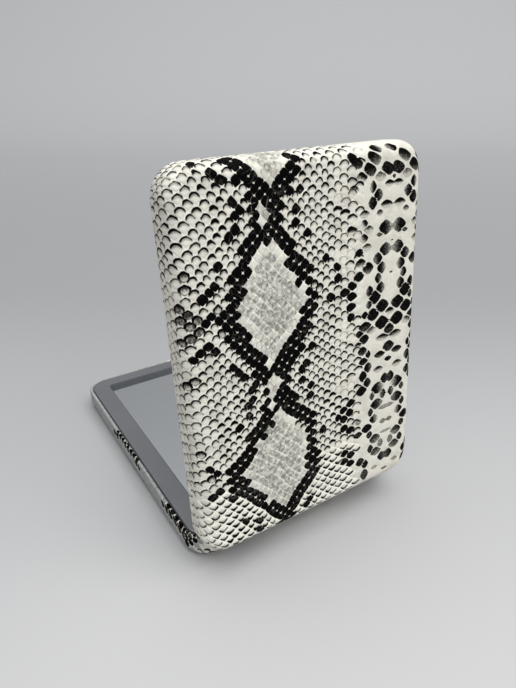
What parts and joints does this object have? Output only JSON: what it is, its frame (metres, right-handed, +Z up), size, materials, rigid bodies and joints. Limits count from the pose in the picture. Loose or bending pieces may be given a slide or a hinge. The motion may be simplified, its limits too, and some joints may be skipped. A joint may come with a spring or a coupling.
{
  "type": "compact mirror",
  "caption": "Folding pocket mirror: two slim leather-covered leaves with framed mirrors inside, hinged along one short end and held open by friction.",
  "frame": {"origin": "centre of the base leaf's underside, the face that it rests on", "axes": "+Z up out of the underside, X along the hinge, +Y from the hinge towards the base leaf's free end"},
  "size_m": [0.062, 0.0922, 0.0926],
  "materials": {
    "leather": "satin",
    "foam": "matte",
    "tray": "matte",
    "adhesive": "matte",
    "mirror": "polished",
    "frame": "satin",
    "magnet": "satin",
    "steel": "satin"
  },
  "bodies": {
    "base": {"base_leather": "leather", "base_foam": "foam", "base_tray": "tray", "base_mirror_pad": "adhesive", "base_mirror": "mirror", "base_frame": "frame", "base_magnet_left": "magnet", "base_magnet_right": "magnet", "hinge_pin_left": "steel", "hinge_pin_right": "steel"},
    "cover": {"cover_leather": "leather", "cover_foam": "foam", "cover_tray": "tray", "cover_mirror_pad": "adhesive", "cover_mirror": "mirror", "cover_frame": "frame", "cover_magnet_left": "magnet", "cover_magnet_right": "magnet"}
  },
  "joints": [
    {"name": "cover_hinge", "type": "hinge", "parent": "base", "child": "cover", "pos_m": [0, -0.0429, 0.0072], "axis": [1, 0, 0], "range_deg": [-84, 96]}
  ]
}
